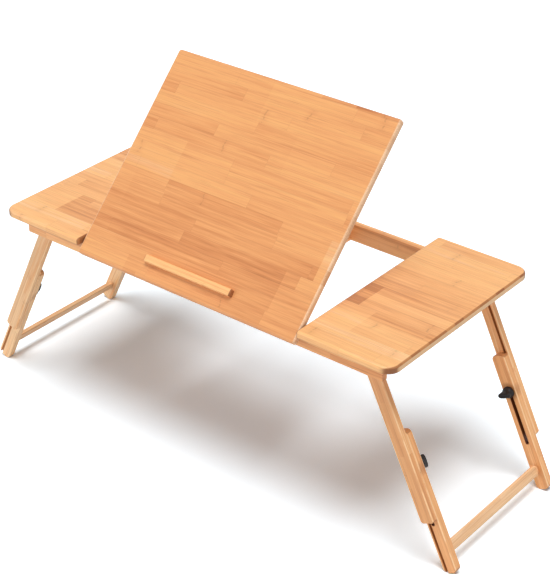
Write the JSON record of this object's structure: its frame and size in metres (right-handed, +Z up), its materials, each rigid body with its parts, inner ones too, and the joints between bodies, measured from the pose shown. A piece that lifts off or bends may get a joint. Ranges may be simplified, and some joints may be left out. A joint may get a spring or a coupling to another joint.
{
  "type": "laptop bed table",
  "caption": "Bamboo bed table whose centre panel tilts between fixed side panels, on legs that slide and fold.",
  "frame": {"origin": "on the floor, under the middle of the table's bounding box", "axes": "+X along the table to its right, +Y to its back, +Z up"},
  "size_m": [0.8998, 0.3418, 0.5433],
  "materials": {
    "bamboo_board": "satin lacquer",
    "bamboo_rail": "satin lacquer",
    "bamboo_leg": "satin lacquer",
    "dowel_wood": "raw",
    "knob_plastic": "fine texture",
    "washer_plastic": "smooth",
    "insert_brass": "machined",
    "prop_steel": "bright wire",
    "hinge_steel": "zinc plated",
    "screw_steel": "zinc plated"
  },
  "bodies": {
    "base": {"side_panel_left": "bamboo_board", "side_panel_right": "bamboo_board", "front_rail": "bamboo_rail", "back_rail": "bamboo_rail", "prop_rack_left": "bamboo_rail", "prop_rack_right": "bamboo_rail", "panel_dowels": "dowel_wood", "rack_dowels": "dowel_wood", "hinge_rail_leaf_left": "hinge_steel", "hinge_rail_leaf_right": "hinge_steel", "hinge_pins": "screw_steel", "hinge_rail_screws": "screw_steel", "leg_pivot_bolts": "screw_steel", "leg_pivot_washers": "screw_steel", "leg_pivot_inserts": "insert_brass"},
    "tilting_top": {"tilt_panel": "bamboo_board", "stop_lip": "bamboo_rail", "lip_dowels": "dowel_wood", "hinge_panel_leaf_left": "hinge_steel", "hinge_panel_leaf_right": "hinge_steel", "hinge_panel_screws": "screw_steel", "prop_clip_left": "hinge_steel", "prop_clip_right": "hinge_steel", "prop_clip_screws": "screw_steel"},
    "prop": {"prop_wire": "prop_steel"},
    "upper_legs_right": {"upper_leg_front_right": "bamboo_leg", "upper_leg_back_right": "bamboo_leg", "guide_keys_right": "bamboo_leg", "knob_inserts_right": "insert_brass"},
    "lower_legs_right": {"lower_leg_front_right": "bamboo_leg", "lower_leg_back_right": "bamboo_leg", "crossbar_right": "bamboo_leg"},
    "knob_front_right": {"knob_front_right": "knob_plastic", "knob_stud_front_right": "screw_steel", "knob_washer_front_right": "washer_plastic"},
    "knob_back_right": {"knob_back_right": "knob_plastic", "knob_stud_back_right": "screw_steel", "knob_washer_back_right": "washer_plastic"},
    "upper_legs_left": {"upper_leg_front_left": "bamboo_leg", "upper_leg_back_left": "bamboo_leg", "guide_keys_left": "bamboo_leg", "knob_inserts_left": "insert_brass"},
    "lower_legs_left": {"lower_leg_front_left": "bamboo_leg", "lower_leg_back_left": "bamboo_leg", "crossbar_left": "bamboo_leg"},
    "knob_front_left": {"knob_front_left": "knob_plastic", "knob_stud_front_left": "screw_steel", "knob_washer_front_left": "washer_plastic"},
    "knob_back_left": {"knob_back_left": "knob_plastic", "knob_stud_back_left": "screw_steel", "knob_washer_back_left": "washer_plastic"}
  },
  "joints": [
    {"name": "top_tilt", "type": "hinge", "parent": "base", "child": "tilting_top", "pos_m": [0, -0.14814, 0.30604], "axis": [1, 0, 0], "range_deg": [-46, 0]},
    {"name": "prop_swing", "type": "hinge", "parent": "tilting_top", "child": "prop", "pos_m": [0, -0.05783, 0.39956], "axis": [1, 0, 0], "range_deg": [0, 92]},
    {"name": "right_leg_fold", "type": "hinge", "parent": "base", "child": "upper_legs_right", "pos_m": [0.3, 0.00086, 0.29434], "axis": [0, 1, 0], "range_deg": [0, 109]},
    {"name": "right_leg_height", "type": "slide", "parent": "upper_legs_right", "child": "lower_legs_right", "axis": [-0.4384, 0, 0.8988], "range_m": [0, 0.083]},
    {"name": "knob_front_right_turn", "type": "hinge", "parent": "upper_legs_right", "child": "knob_front_right", "pos_m": [0.37277, -0.11324, 0.14514], "axis": [0, -1, 0], "range_deg": [0, 360]},
    {"name": "knob_back_right_turn", "type": "hinge", "parent": "upper_legs_right", "child": "knob_back_right", "pos_m": [0.37277, 0.11496, 0.14514], "axis": [0, 1, 0], "range_deg": [0, 360]},
    {"name": "left_leg_fold", "type": "hinge", "parent": "base", "child": "upper_legs_left", "pos_m": [-0.3, 0.00086, 0.29434], "axis": [0, -1, 0], "range_deg": [0, 109]},
    {"name": "left_leg_height", "type": "slide", "parent": "upper_legs_left", "child": "lower_legs_left", "axis": [0.4384, 0, 0.8988], "range_m": [0, 0.083]},
    {"name": "knob_front_left_turn", "type": "hinge", "parent": "upper_legs_left", "child": "knob_front_left", "pos_m": [-0.37277, -0.11324, 0.14514], "axis": [0, -1, 0], "range_deg": [0, 360]},
    {"name": "knob_back_left_turn", "type": "hinge", "parent": "upper_legs_left", "child": "knob_back_left", "pos_m": [-0.37277, 0.11496, 0.14514], "axis": [0, 1, 0], "range_deg": [0, 360]}
  ],
  "couplings": [
    {"joint": "prop_swing", "follows": "top_tilt", "ratio": -2}
  ]
}
